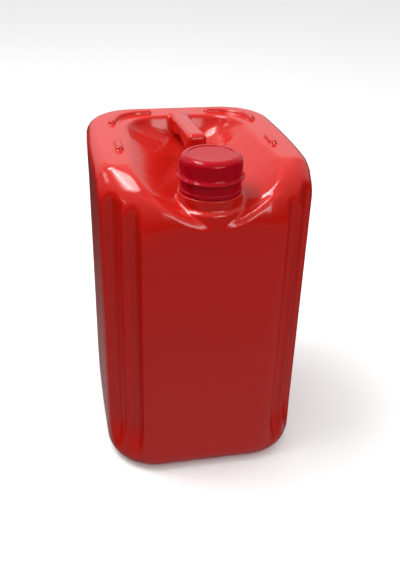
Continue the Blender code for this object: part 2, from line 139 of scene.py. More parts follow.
def rim_height(x, y):
    """The top of the pads, which falls towards the front."""
    ahead = down_slope(y)
    return PAD_HEIGHT - SLOPE_LEAN * ahead - SLOPE_FALL * ahead ** SLOPE_CURVE


def bank_height(x, y):
    """The narrow bank between the dish and the front wall, which dips in the middle."""
    aside = BANK_GAIN * (np.hypot(x, MIDDLE_ROUND) / BANK_SPAN) ** BANK_CURVE
    return BANK_LOW + aside + BANK_RISE * smooth((y - BANK_BACK) / BANK_LENGTH)


def below(height, x, y, z):
    """The solid below a surface that is given by its height."""
    step = 1e-4
    slope_x = (height(x + step, y) - height(x - step, y)) / (2 * step)
    slope_y = (height(x, y + step) - height(x, y - step)) / (2 * step)
    return (z - height(x, y)) / np.sqrt(1 + slope_x ** 2 + slope_y ** 2)


# The dish: half its width, which narrows towards the neck, the depth of its bottom below the pads, and the
# curve of its flanks, which is rounder at the back
DISH_BACK = 0.0965
DISH_HALF_FRONT = 0.084
DISH_HALF_BACK = 0.072
DISH_HALF_LEAST = 0.016
DISH_NARROWING = 0.026
NECK_NARROWING = 0.034
DISH_FLOOR_AT = (-0.1465, -0.060, 0.0, 0.045, 0.065, 0.090)
DISH_FLOOR_DEPTH = (0.0505, 0.046, 0.043, 0.040, 0.036, 0.028)
FLANK_CURVE = 1.3
FLANK_GAIN = 0.7
FLANK_GAIN_START = 0.020
FLANK_GAIN_LENGTH = 0.050

# The dish's steep back wall, whose crest bends forward towards both sides
BACK_WALL_SLOPE = 2.4
CREST_BEND = 0.028
CREST_SPAN = 0.070
CREST_END = 1.3
DISH_FILLET = 0.009
DISH_EDGE = 0.003


def dished_top(x, y, z):
    """The solid below the pads, the bank and the dish."""
    rim = rim_height(x, y)
    under_rim = meet(below(rim_height, x, y, z), below(bank_height, x, y, z), BANK_ROUND)
    bottom = PAD_HEIGHT - np.interp(y, DISH_FLOOR_AT, DISH_FLOOR_DEPTH)
    ahead = down_slope(y)
    back = np.clip((y - SLOPE_START) / (DISH_BACK - SLOPE_START), 0, 1)
    narrowing = DISH_NARROWING * ahead ** 2 + NECK_NARROWING * ahead ** 9
    half = DISH_HALF_FRONT + (DISH_HALF_BACK - DISH_HALF_FRONT) * back - narrowing
    half = np.maximum(half, DISH_HALF_LEAST)
    share = np.hypot(x, MIDDLE_ROUND) / half
    curve = FLANK_CURVE + FLANK_GAIN * smooth((y - FLANK_GAIN_START) / FLANK_GAIN_LENGTH)
    valley = bottom + (rim - bottom) * share ** curve
    valley_slope = (rim - bottom) * curve * share ** (curve - 1) / half
    over_valley = (z - valley) / np.hypot(1, valley_slope)
    crest = DISH_BACK - CREST_BEND * np.minimum(np.abs(x) / CREST_SPAN, CREST_END) ** 4
    over_wall = (z - PAD_HEIGHT - (y - crest) * BACK_WALL_SLOPE) / np.hypot(1, BACK_WALL_SLOPE)
    return meet(under_rim, blend(over_valley, over_wall, DISH_FILLET), DISH_EDGE)


# The round edge between walls and pads: along the sides, over a front corner as a polynomial of the turn
# round it, and along the front by the distance from the middle
SIDE_ROUND = 0.017
SIDE_GAIN = 0.008
SIDE_GAIN_END = -0.060
SIDE_GAIN_LENGTH = 0.030
SHOULDER_ROUND = (0.0367, -0.1190, 0.0748, 0.0251)
FRONT_AT = (0.0, 0.019, 0.034, 0.047, 0.058)
FRONT_ROUND = (0.012, 0.012, 0.013, 0.0155, 0.018)

# The foot's round edge, and the recess inside the ring that the can stands on
BASE_ROUND = 0.022
FOOT_INSET = 0.041
BASE_RECESS = 0.006
RECESS_ROUND = 0.003


def shoulder_rounding(x, y):
    """How round the edge between the walls and the pads is at a place."""
    side_x = np.abs(x)
    corner_x = HALF_WIDTH - CORNER_RADIUS
    corner_y = CORNER_RADIUS - HALF_DEPTH
    turn = np.arctan2(np.maximum(corner_y - y, 0), np.maximum(side_x - corner_x, 1e-6))
    rounding = np.polyval(SHOULDER_ROUND, turn / (pi / 2))
    rounding = np.where(side_x < corner_x, np.interp(side_x, FRONT_AT, FRONT_ROUND), rounding)
    beside = SIDE_ROUND + SIDE_GAIN * smooth((SIDE_GAIN_END - y) / SIDE_GAIN_LENGTH)
    return np.where(y > corner_y, beside, rounding)


def shell(x, y, z):
    """The can without its neck, handle and ribs."""
    side = walls(x, y, z)
    solid = meet(meet(side, dished_top(x, y, z), shoulder_rounding(x, y)), -z, BASE_ROUND)
    for size in (GROOVE_SIDE, GROOVE_END):
        solid = meet(solid, groove(x, y, z, *size), GROOVE_EDGE)
    recess = meet(side + FOOT_INSET, z - BASE_RECESS, RECESS_ROUND)
    return np.maximum(solid, -recess)


# The neck's seat, which flares a little downwards, and the foot of the collar on it. Both start in the can.
NECK_Y = -0.1035
SEAT_RADIUS = 0.0405
SEAT_HEIGHT = 0.3545
SEAT_FLARE = 0.0025
SEAT_FLARE_LENGTH = 0.020
SEAT_ROUND = 0.0026
SEAT_FOOT = 0.30
COLLAR_RADIUS = 0.0358
COLLAR_SHOULDER = 0.3655
COLLAR_FOOT = 0.33


def neck_seat(x, y, z):
    """The round seat below the neck, cut off flush with the front wall."""
    radius = SEAT_RADIUS + SEAT_FLARE * smooth((SEAT_HEIGHT - z) / SEAT_FLARE_LENGTH)
    solid = meet(np.hypot(x, y - NECK_Y) - radius, z - SEAT_HEIGHT, SEAT_ROUND)
    return np.maximum(np.maximum(solid, walls(x, y, z)), SEAT_FOOT - z)


def collar(x, y, z):
    """The foot of the neck's collar, which runs out into the seat and the dish."""
    upright = np.maximum(z - COLLAR_SHOULDER, COLLAR_FOOT - z)
    return np.maximum(np.hypot(x, y - NECK_Y) - COLLAR_RADIUS, upright)


# The handle's bar, its leg at the front, and the hand's opening under it, which is lower towards the back
HANDLE_HALF_WIDTH = 0.01175
HANDLE_FRONT = -0.028
HANDLE_LEG_BACK = -0.006
HANDLE_LEG_FOOT = 0.335
HANDLE_ROOT = 0.108
HANDLE_ROOT_LIFT = 0.0012
HANDLE_ROOT_OVERLAP = 0.008
HANDLE_RISE = 0.0128
HANDLE_NOSE_ROUND = 0.008
HANDLE_ROUND = 0.0065
OPENING_TOP = 0.382
OPENING_FALL = 0.012
OPENING_FALL_START = 0.035
OPENING_FALL_LENGTH = 0.05
OPENING_ROUND = 0.010


def handle(x, y, z):
    """The handle: from the back rim it rises forward, then turns down into the dish."""
    length = HANDLE_ROOT - HANDLE_FRONT
    top = PAD_HEIGHT + HANDLE_ROOT_LIFT + (HANDLE_ROOT - y) * HANDLE_RISE / length
    outer = meet(z - top, HANDLE_FRONT - y, HANDLE_NOSE_ROUND)
    under = OPENING_TOP - OPENING_FALL * smooth((y - OPENING_FALL_START) / OPENING_FALL_LENGTH)
    opening = meet(z - under, HANDLE_LEG_BACK - y, OPENING_ROUND)
    bar = np.maximum(outer, -opening)
    bar = np.maximum(np.maximum(bar, y - HANDLE_ROOT - HANDLE_ROOT_OVERLAP), HANDLE_LEG_FOOT - z)
    return meet(bar, np.abs(x) - HANDLE_HALF_WIDTH, HANDLE_ROUND)


# The ribs: the long one runs from RIB_START on the side, round its bend, to RIB_MIDDLE on the back
RIB_SIDE = 0.091
RIB_BACK = 0.1085
RIB_BEND = 0.044
RIB_START = 0.070
RIB_MIDDLE = 0.040
SHORT_RIB_FRONT = -0.0295
SHORT_RIB_BACK = -0.0065
RIB_HALF_WIDTH = 0.0045
RIB_HEIGHT = 0.0046
RIB_EDGE = 0.003
RIB_SUNK = 0.006
RIB_SUNK_EDGE = 0.001


def ribs(x, y, z):
    """The raised ribs on the pads: a long one round each back corner and a short one on each side."""
    side = np.abs(x)
    centre_x = RIB_SIDE - RIB_BEND
    centre_y = RIB_BACK - RIB_BEND
    first_turn = np.arcsin((RIB_START - centre_y) / RIB_BEND)
    turn = np.clip(np.arctan2(y - centre_y, side - centre_x), first_turn, pi / 2)
    arc = np.hypot(side - centre_x - RIB_BEND * np.cos(turn), y - centre_y - RIB_BEND * np.sin(turn))
    straight = np.hypot(np.clip(side, RIB_MIDDLE, centre_x) - side, y - RIB_BACK)
    short = np.hypot(side - RIB_SIDE, y - np.clip(y, SHORT_RIB_FRONT, SHORT_RIB_BACK))
    path = np.minimum(np.minimum(arc, straight), short) - RIB_HALF_WIDTH
    raised = meet(path, z - PAD_HEIGHT - RIB_HEIGHT, RIB_EDGE)
    return meet(raised, PAD_HEIGHT - RIB_SUNK - z, RIB_SUNK_EDGE)


# The fillets where the parts of the moulding meet, and the seam, which leaves out the neck and its seat
SEAT_FILLET = 0.0035
COLLAR_FILLET = 0.004
HANDLE_FILLET = 0.005
RIB_FILLET = 0.0016
SEAM_HEIGHT = 0.00022
SEAM_WIDTH = 0.00055
SEAM_FADE = 0.004
NO_SEAM_ABOVE = 0.33
NO_SEAM_RADIUS = 0.048


def can_outside(x, y, z):
    solid = blend(shell(x, y, z), neck_seat(x, y, z), SEAT_FILLET)
    solid = blend(solid, collar(x, y, z), COLLAR_FILLET)
    solid = np.maximum(blend(solid, handle(x, y, z), HANDLE_FILLET), walls(x, y, z))
    solid = blend(solid, ribs(x, y, z), RIB_FILLET)
    at_neck = (z > NO_SEAM_ABOVE) & (np.hypot(x, y - NECK_Y) < NO_SEAM_RADIUS)
    seam = np.where(at_neck, 0.0, smooth(z / SEAM_FADE))
    return solid - SEAM_HEIGHT * seam * np.exp(-(x / SEAM_WIDTH) ** 2)


def can_inside(x, y, z):
    return blend(shell(x, y, z), handle(x, y, z), HANDLE_FILLET) + WALL


def spaced(*runs):
    """Grid lines over runs of (start, end, step), a hair off round numbers so that none lies in a face."""
    lines = [runs[0][0]]
    for start, end, step in runs:
        count = max(ceil((end - start) / step - 0.01), 1)
        lines += [start + (end - start) * (i + 1) / count for i in range(count)]
    return np.array(lines) + 1e-7


# Moving points onto a surface: a probe's step, how far a point goes at once, and the least square of a slope
PROBE_STEP = 1e-5
FURTHEST_MOVE = 0.003
LEAST_SLOPE_SQUARE = 0.05

# Evening points out: the share of the way to the middle of its neighbours that a point goes, and the strip at
# the seam in which points keep their places
EVENING_SHARE = 0.6
SEAM_STRIP = 0.004


def surface(solid, xs, ys, zs, rounds):
    """A mesh of quads on the surface of a solid: one point in each grid cell it crosses, moved onto it."""
    grid = (xs, ys, zs)
    values = solid(*np.meshgrid(*grid, indexing="ij"))
    inside = values < 0
    cells = tuple(size - 1 for size in values.shape)
    total = np.zeros(cells + (3,))
    count = np.zeros(cells, int)
    crossings = []
    for axis in range(3):
        low = tuple(slice(None, -1) if k == axis else slice(None) for k in range(3))
        high = tuple(slice(1, None) if k == axis else slice(None) for k in range(3))
        change = inside[low] != inside[high]
        place = np.argwhere(change)
        share = values[low][change] / (values[low][change] - values[high][change])
        points = np.stack([grid[k][place[:, k]] for k in range(3)], 1)
        points[:, axis] += share * (grid[axis][place[:, axis] + 1] - grid[axis][place[:, axis]])
        sides = ((axis + 1) % 3, (axis + 2) % 3)
        around = []
        for back in ((1, 1), (0, 1), (0, 0), (1, 0)):
            cell = place.copy()
            cell[:, sides[0]] -= back[0]
            cell[:, sides[1]] -= back[1]
            np.add.at(total, tuple(cell.T), points)
            np.add.at(count, tuple(cell.T), 1)
            around.append(cell)
        crossings.append((around, inside[low][change]))
    used = np.argwhere(count > 0)
    number = np.full(cells, -1)
    number[tuple(used.T)] = np.arange(len(used))
    points = total[tuple(used.T)] / count[tuple(used.T)][:, None]
    quads = []
    for around, outwards in crossings:
        faces = np.stack([number[tuple(cell.T)] for cell in around], 1)
        faces[~outwards] = faces[~outwards][:, ::-1]
        quads.append(faces)
    quads = np.concatenate(quads)

    def onto(spots):
        """Moves points along the solid's slope onto its surface."""
        slopes = []
        for k in range(3):
            shift = np.zeros(3)
            shift[k] = PROBE_STEP
            slopes.append((solid(*(spots + shift).T) - solid(*(spots - shift).T)) / (2 * PROBE_STEP))
        slopes = np.stack(slopes, 1)
        square = np.maximum((slopes * slopes).sum(1), LEAST_SLOPE_SQUARE)
        move = np.clip(solid(*spots.T), -FURTHEST_MOVE, FURTHEST_MOVE)
        return spots - (move / square)[:, None] * slopes

    start = np.concatenate([quads[:, i] for i in range(4)] * 2)
    other = np.concatenate([quads[:, (i + turn) % 4] for turn in (1, 3) for i in range(4)])
    near = np.bincount(start, minlength=len(points))
    loose = np.clip(np.abs(points[:, 0]) / SEAM_STRIP - 0.5, 0, 1) * EVENING_SHARE
    points = onto(onto(points))
    for _ in range(rounds):
        middle = np.stack([np.bincount(start, points[other, k], len(points)) / near for k in range(3)], 1)
        points = onto(points + loose[:, None] * (middle - points))
    return onto(points), quads


def mesh_object(name, points, faces):
    data = bpy.data.meshes.new(name)
    data.from_pydata(np.asarray(points).tolist(), [], [list(map(int, face)) for face in faces])
    data.update()
    item = bpy.data.objects.new(name, data)
    bpy.context.scene.collection.objects.link(item)
    return item


def softened(corners, steps=4):
    """A profile of (radius, height, rounding) corners with its corners rounded."""
    points = []
    for i, (r, z, rounding) in enumerate(corners):
        if rounding == 0:
            points.append((r, z))
            continue
        here = Vector((r, z))
        to_last = (Vector(corners[i - 1][:2]) - here).normalized()
        to_next = (Vector(corners[(i + 1) % len(corners)][:2]) - here).normalized()
        angle = to_last.angle(to_next)
        reach = rounding / np.tan(angle / 2)
        centre = here + (to_last + to_next).normalized() * rounding / sin(angle / 2)
        first = here + to_last * reach - centre
        last = here + to_next * reach - centre
        for k in range(steps + 1):
            point = centre + first.lerp(last, k / steps).normalized() * rounding
            points.append((point.x, point.y))
    return points


def turned(name, profile, sides, closed):
    """A closed solid turned about the neck's axis, from its highest middle point round to its lowest."""
    angles = 2 * pi * np.arange(sides) / sides
    points = []
    rings = []
    for r, z in profile:
        if r == 0:
            rings.append([len(points)] * sides)
            points.append((0.0, NECK_Y, z))
            continue
        rings.append(list(range(len(points), len(points) + sides)))
        points += [(r * cos(a), NECK_Y + r * sin(a), z) for a in angles]
    faces = []
    pairs = list(zip(rings, rings[1:]))
    if closed:
        pairs.append((rings[-1], rings[0]))
    for high, low in pairs:
        for i in range(sides):
            j = (i + 1) % sides
            corners = (high[i], low[i], low[j], high[j])
            faces.append([c for k, c in enumerate(corners) if c != corners[k - 1]])
    return mesh_object(name, points, faces)


def combined(item, *others):
    """Joins solids to an object (+) or cuts them out (-), and keeps the result as its plain mesh."""
    for sign, other in others:
        cut = item.modifiers.new(other.name, "BOOLEAN")
        cut.object = other
        cut.operation = "UNION" if sign == "+" else "DIFFERENCE"
        cut.solver = "MANIFOLD"
    result = bpy.data.meshes.new_from_object(item.evaluated_get(bpy.context.evaluated_depsgraph_get()))
    item.modifiers.clear()
    item.data = result
    result.name = item.name
    for _, other in others:
        bpy.data.objects.remove(other)
    return item


def finish_mesh(item, material):
    """Gives a piece smooth faces, edges that are crisp from 50 degrees up, and one material."""
    item.data.shade_smooth()
    item.data.set_sharp_from_angle(angle=radians(50))
    item.data.materials.clear()
    item.data.materials.append(material)


def link(tree, start, start_socket, end, end_socket):
    tree.links.new(start.outputs[start_socket], end.inputs[end_socket])


def node(tree, kind, **values):
    made = tree.nodes.new(kind)
    for key, value in values.items():
        setattr(made, key, value)
    return made


def feed(tree, source, end, end_socket):
    """Feeds a socket from a node's first output, from a (node, output) pair, or with a plain value."""
    if isinstance(source, bpy.types.Node):
        link(tree, source, 0, end, end_socket)
    elif isinstance(source, tuple) and isinstance(source[0], bpy.types.Node):
        link(tree, *source, end, end_socket)
    else:
        end.inputs[end_socket].default_value = source


def maths(tree, operation, *sources):
    made = node(tree, "ShaderNodeMath", operation=operation)
    for socket, source in enumerate(sources):
        feed(tree, source, made, socket)
    return made


def piece_tree(name, numbers):
    """A geometry node tree with number inputs, a place and a material, and its input node."""
    tree = bpy.data.node_groups.new(name, "GeometryNodeTree")
    for key, value in numbers:
        kind = "NodeSocketInt" if isinstance(value, int) else "NodeSocketFloat"
        tree.interface.new_socket(key, in_out="INPUT", socket_type=kind).default_value = value
    tree.interface.new_socket("Place", in_out="INPUT", socket_type="NodeSocketVector")
    tree.interface.new_socket("Material", in_out="INPUT", socket_type="NodeSocketMaterial")
    tree.interface.new_socket("Geometry", in_out="OUTPUT", socket_type="NodeSocketGeometry")
    return tree, node(tree, "NodeGroupInput")


def end_tree(tree, given, made):
    """Ends a tree: what it made is moved to its place, made real and given its material."""
    moved = node(tree, "GeometryNodeTransform")
    link(tree, made, 0, moved, "Geometry")
    link(tree, given, "Place", moved, "Translation")
    real = node(tree, "GeometryNodeRealizeInstances")
    link(tree, moved, 0, real, "Geometry")
    coloured = node(tree, "GeometryNodeSetMaterial")
    link(tree, real, 0, coloured, "Geometry")
    link(tree, given, "Material", coloured, "Material")
    link(tree, coloured, 0, node(tree, "NodeGroupOutput"), "Geometry")


def screw_thread_tree():
    """A raised thread: a spiral with tapered ends, swept with a ridge whose root is sunk into the wall.

    A negative reach turns the ridge inwards.
    """
    tree, given = piece_tree("screw_thread", (
        ("Radius", 0.03), ("Reach", 0.0014), ("Width", 0.0024), ("Pitch", 0.006), ("Turns", 1.3)))
    spiral = node(tree, "GeometryNodeCurveSpiral")
    spiral.inputs["Resolution"].default_value = 64
    link(tree, given, "Turns", spiral, "Rotations")
    link(tree, given, "Radius", spiral, "Start Radius")
    link(tree, given, "Radius", spiral, "End Radius")
    link(tree, maths(tree, "MULTIPLY", (given, "Pitch"), (given, "Turns")), 0, spiral, "Height")
    upright = node(tree, "GeometryNodeSetCurveNormal")
    upright.mode = "Z_UP"
    link(tree, spiral, 0, upright, "Curve")
    along = node(tree, "GeometryNodeSplineParameter")
    taper = node(tree, "ShaderNodeFloatCurve")
    curve = taper.mapping.curves[0]
    curve.points[0].location = (0.0, 0.05)
    curve.points[1].location = (1.0, 0.05)
    curve.points.new(0.06, 1.0)
    curve.points.new(0.94, 1.0)
    taper.mapping.update()
    link(tree, along, "Factor", taper, "Value")
    tapered = node(tree, "GeometryNodeSetCurveRadius")
    link(tree, upright, 0, tapered, "Curve")
    link(tree, taper, 0, tapered, "Radius")
    ridge = node(tree, "GeometryNodeCurvePrimitiveQuadrilateral", mode="TRAPEZOID")
    ridge.inputs["Offset"].default_value = 0.0
    link(tree, given, "Width", ridge, "Bottom Width")
    link(tree, maths(tree, "MULTIPLY", (given, "Width"), 0.42), 0, ridge, "Top Width")
    link(tree, maths(tree, "MULTIPLY", (given, "Reach"), 2.0), 0, ridge, "Height")
    sweep = node(tree, "GeometryNodeCurveToMesh")
    sweep.inputs["Fill Caps"].default_value = True
    link(tree, tapered, 0, sweep, "Curve")
    link(tree, ridge, 0, sweep, "Profile Curve")
    end_tree(tree, given, sweep)
    return tree


def from_tree(name, tree, **values):
    """A plain mesh object made by a geometry node tree with the given inputs."""
    item = mesh_object(name, [], [])
    modifier = item.modifiers.new(name, "NODES")
    modifier.node_group = tree
    for socket in tree.interface.items_tree:
        key = socket.name.replace(" ", "_")
        if socket.in_out == "INPUT" and key in values:
            modifier[socket.identifier] = values[key]
    return combined(item)


def noise(tree, place, scale, detail):
    made = node(tree, "ShaderNodeTexNoise")
    made.inputs["Detail"].default_value = detail
    feed(tree, place, made, "Vector")
    feed(tree, scale, made, "Scale")
    return made


def ramp(tree, source, start, end, low=0.0, high=1.0, kind="LINEAR"):
    """Goes from low to high while its source goes from start to end."""
    made = node(tree, "ShaderNodeMapRange", interpolation_type=kind)
    for key, value in (("From Min", start), ("From Max", end), ("To Min", low), ("To Max", high)):
        made.inputs[key].default_value = value
    feed(tree, source, made, "Value")
    return made


def mixed(tree, share, first, second):
    """A colour between two, by a share from 0 for the first to 1 for the second."""
    made = node(tree, "ShaderNodeMix", data_type="RGBA")
    feed(tree, share, made, 0)
    feed(tree, first, made, 6)
    feed(tree, second, made, 7)
    return made, 2


def moulded_surface_group():
    """The finish of every moulded piece: pigment with faint clouds, fine moulding grain, scuffs and dust."""
    group = bpy.data.node_groups.new("moulded_surface", "ShaderNodeTree")
    for name, kind, value in (
        ("Pigment", "NodeSocketColor", (0.5, 0.01, 0.01, 1.0)),
        ("Cloud", "NodeSocketColor", (0.4, 0.01, 0.01, 1.0)),
        ("Cloud scale", "NodeSocketFloat", 9.0),
        ("Gloss", "NodeSocketFloat", 0.3),
        ("Scuffs", "NodeSocketFloat", 0.5),
        ("Grain scale", "NodeSocketFloat", 1800.0),
        ("Grain", "NodeSocketFloat", 0.4),
        ("Dust", "NodeSocketFloat", 0.1),
    ):
        group.interface.new_socket(name, in_out="INPUT", socket_type=kind).default_value = value
    group.interface.new_socket("Colour", in_out="OUTPUT", socket_type="NodeSocketColor")
    group.interface.new_socket("Roughness", in_out="OUTPUT", socket_type="NodeSocketFloat")
    group.interface.new_socket("Height", in_out="OUTPUT", socket_type="NodeSocketFloat")
    given = node(group, "NodeGroupInput")
    result = node(group, "NodeGroupOutput")
    place = (node(group, "ShaderNodeTexCoord"), "Object")

    cloud = noise(group, place, (given, "Cloud scale"), 3.0)
    clouded = mixed(group, cloud, (given, "Pigment"), (given, "Cloud"))

    # Short fine scratches, stretched in two directions and kept to some patches
    scratches = []
    for angle, scale in (((0.2, 0.1, 0.5), (900, 25, 60)), ((0.1, 0.3, -0.9), (25, 700, 50))):
        stretched = node(group, "ShaderNodeMapping")
        stretched.inputs["Rotation"].default_value = angle
        stretched.inputs["Scale"].default_value = scale
        feed(group, place, stretched, "Vector")
        scratches.append(ramp(group, noise(group, stretched, 1.0, 1.0), 0.68, 0.76))
    patches = noise(group, place, 22.0, 2.0)
    worn = ramp(group, patches, 0.50, 0.66)
    scuffed = maths(group, "MULTIPLY", maths(group, "MAXIMUM", *scratches), worn)
    scuffs = maths(group, "MULTIPLY", scuffed, (given, "Scuffs"))

    # A trace of dust on what faces up
    up = node(group, "ShaderNodeSeparateXYZ")
    link(group, node(group, "ShaderNodeNewGeometry"), "Normal", up, "Vector")
    level = ramp(group, (up, "Z"), 0.75, 1.0)
    dusty = maths(group, "MULTIPLY", level, noise(group, place, 420.0, 4.0))
    dust = maths(group, "MULTIPLY", dusty, (given, "Dust"))

    paleness = maths(group, "ADD", maths(group, "MULTIPLY", scuffs, 0.10), dust)
    colour = mixed(group, paleness, clouded, (0.75, 0.55, 0.50, 1.0))
    feed(group, colour, result, "Colour")

    uneven = maths(group, "MULTIPLY_ADD", patches, 0.10, (given, "Gloss"))
    feed(group, maths(group, "MULTIPLY_ADD", scuffs, 0.25, uneven), result, "Roughness")

    grain = noise(group, place, (given, "Grain scale"), 2.0)
    grained = maths(group, "MULTIPLY", grain, (given, "Grain"))
    wavy = maths(group, "MULTIPLY_ADD", patches, 3.0, grained)
    feed(group, maths(group, "MULTIPLY_ADD", scuffs, -0.5, wavy), result, "Height")
    return group


moulded_surface = moulded_surface_group()


def moulded(name, bump, shine, **values):
    """A moulded plastic: the surface group's colour, roughness and height on its own shader."""
    material = bpy.data.materials.new(name)
    material.use_nodes = True
    tree = material.node_tree
    shader = tree.nodes["Principled BSDF"]
    shader.inputs["IOR"].default_value = 1.52
    shader.inputs["Specular IOR Level"].default_value = shine
    surface_group = node(tree, "ShaderNodeGroup")
    surface_group.node_tree = moulded_surface
    for key, value in values.items():
        surface_group.inputs[key.replace("_", " ")].default_value = value
    relief = node(tree, "ShaderNodeBump")
    relief.inputs["Strength"].default_value = 1.0
    relief.inputs["Distance"].default_value = bump
    link(tree, surface_group, "Colour", shader, "Base Color")
    link(tree, surface_group, "Roughness", shader, "Roughness")
    link(tree, surface_group, "Height", relief, "Height")
    link(tree, relief, "Normal", shader, "Normal")
    return material


can_red = moulded(
    "can_red", 0.00003, 0.3,
    Pigment=(0.495, 0.008, 0.0035, 1.0), Cloud=(0.465, 0.006, 0.003, 1.0), Cloud_scale=9.0,
    Gloss=0.11, Scuffs=0.12, Grain_scale=1500.0, Grain=0.5, Dust=0.03,
)

# The outside has a fine grid, finer still across the seam and coarser down the plain walls
FINE = 0.0021
at_seam = np.array([0.0002, SEAM_WIDTH, 2 * SEAM_WIDTH])
beside_seam = spaced((FINE, HALF_WIDTH + 0.0052, FINE))
lines_x = np.concatenate([-beside_seam[::-1], -at_seam[::-1], at_seam, beside_seam])
lines_y = spaced((-HALF_DEPTH - 0.004, HALF_DEPTH + 0.004, FINE))
lines_z = spaced((-0.003, 0.045, 0.0030), (0.045, 0.325, 0.020), (0.325, 0.410, FINE * 0.95))
can = mesh_object("can", *surface(can_outside, lines_x, lines_y, lines_z, 4))

COARSE = 0.0062
cavity_x = spaced((-0.133, 0.133, COARSE))
cavity_y = spaced((-0.157, 0.157, COARSE))
cavity_z = spaced((-0.006, 0.060, 0.006), (0.060, 0.320, 0.040), (0.320, 0.416, 0.005))
cavity = mesh_object("cavity", *surface(can_inside, cavity_x, cavity_y, cavity_z, 2))

# The neck, with the bead that holds the tamper ring and the collar below it
NECK_TOP = 0.4034
NECK_RADIUS = 0.0282
BEAD_RADIUS = 0.0312
COLLAR_TOP = 0.3679
COLLAR_WIDEST = 0.0360
BORE_RADIUS = 0.0245
THREAD_WIDTH = 0.0024
THREAD_PITCH = 0.006
neck = turned("neck_blank", softened([
    (0.0, NECK_TOP, 0), (NECK_RADIUS, NECK_TOP, 0.0010), (NECK_RADIUS, 0.3805, 0.0004),
    (BEAD_RADIUS, 0.3788, 0.0005), (BEAD_RADIUS, 0.3774, 0.0004), (NECK_RADIUS, 0.3774, 0.0006),
    (NECK_RADIUS, COLLAR_TOP, 0.0012), (COLLAR_WIDEST, COLLAR_TOP, 0.0010), (COLLAR_WIDEST, 0.3585, 0.0003),
    (0.0350, 0.3585, 0), (0.0350, 0.350, 0), (0.0, 0.350, 0),
]), 96, False)
# The bore has another number of sides than the neck, so that their edges don't fall together on the rim
bore = turned("bore", softened([
    (0.0, 0.415, 0), (0.0270, 0.415, 0), (0.0270, 0.4050, 0), (BORE_RADIUS, 0.4020, 0.0008),
    (BORE_RADIUS, 0.345, 0), (0.0300, 0.330, 0), (0.0, 0.330, 0),
]), 97, False)
screw_thread = screw_thread_tree()
neck_thread = from_tree(
    "neck_thread", screw_thread,
    Radius=0.0280, Reach=0.0016, Width=THREAD_WIDTH, Pitch=THREAD_PITCH, Turns=1.35,
    Place=(0.0, NECK_Y, 0.3905),
)
can = combined(can, ("+", neck), ("+", neck_thread), ("-", cavity), ("-", bore))
finish_mesh(can, can_red)
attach(can, "can")
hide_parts("body")


# The screw cap
# An injection moulded cap of glossy crimson plastic: a sunk disc in its top, a rounded shoulder, a skirt with
# fine upright grip ribs, a flared lip at its foot, and a thread inside that runs on the neck's.

CAP_TOP = 0.4092
CAP_FOOT = 0.3842
CAP_RADIUS = 0.0342
CAP_INSIDE = 0.0312
CAP_CEILING = 0.4058
CAP_DISC_SUNK = 0.0010
CAP_LIP_RADIUS = 0.0373


def ring_of_posts_tree():
    """Upright round posts on a circle about the neck's axis."""
    tree, given = piece_tree("ring_of_posts", (
        ("Count", 60), ("Ring radius", 0.03), ("Post radius", 0.001), ("Post height", 0.01)))
    ring = node(tree, "GeometryNodeMeshCircle")
    link(tree, given, "Count", ring, "Vertices")
    link(tree, given, "Ring radius", ring, "Radius")
    post = node(tree, "GeometryNodeMeshCylinder")
    post.inputs["Vertices"].default_value = 10
    link(tree, given, "Post radius", post, "Radius")
    link(tree, given, "Post height", post, "Depth")
    posts = node(tree, "GeometryNodeInstanceOnPoints")
    link(tree, ring, 0, posts, "Points")
    link(tree, post, "Mesh", posts, "Instance")
    end_tree(tree, given, posts)
    return tree


cap_crimson = moulded(
    "cap_crimson", 0.00002, 0.11,
    Pigment=(0.365, 0.0006, 0.009, 1.0), Cloud=(0.345, 0.0006, 0.007, 1.0), Cloud_scale=40.0,
    Gloss=0.02, Scuffs=0.2, Grain_scale=2500.0, Grain=0.25, Dust=0.02,
)
ring_of_posts = ring_of_posts_tree()
screw_cap = turned("screw_cap", softened([
    (0.0, CAP_TOP - CAP_DISC_SUNK, 0), (0.0248, CAP_TOP - CAP_DISC_SUNK, 0.0005), (0.0254, CAP_TOP, 0.0006),
    (CAP_RADIUS - 0.0004, CAP_TOP, 0.0070), (CAP_RADIUS, CAP_FOOT + 0.0046, 0.0050),
    (CAP_LIP_RADIUS, CAP_FOOT + 0.0016, 0.0004), (CAP_LIP_RADIUS, CAP_FOOT, 0.0004),
    (CAP_INSIDE, CAP_FOOT, 0.0005), (CAP_INSIDE, CAP_CEILING, 0.0006), (0.0, CAP_CEILING, 0),
], 5), 128, False)
grips = from_tree(
    "grips", ring_of_posts,
    Count=72, Ring_radius=CAP_RADIUS - 0.00057, Post_radius=0.0007, Post_height=0.0100,
    Place=(0.0, NECK_Y, 0.3975),
)
cap_thread = from_tree(
    "cap_thread", screw_thread,
    Radius=0.0314, Reach=-0.0023, Width=THREAD_WIDTH, Pitch=THREAD_PITCH, Turns=1.1,
    Place=(0.0, NECK_Y, 0.3875),
)
screw_cap = combined(screw_cap, ("+", grips), ("+", cap_thread))
finish_mesh(screw_cap, cap_crimson)
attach(screw_cap, "closure")
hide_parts("cap")


# The tamper ring
# A band of the same crimson plastic below the cap, held to it by small bridges that break at the first
# opening. A catch inside it sits under the neck's bead, so it stays on the neck.

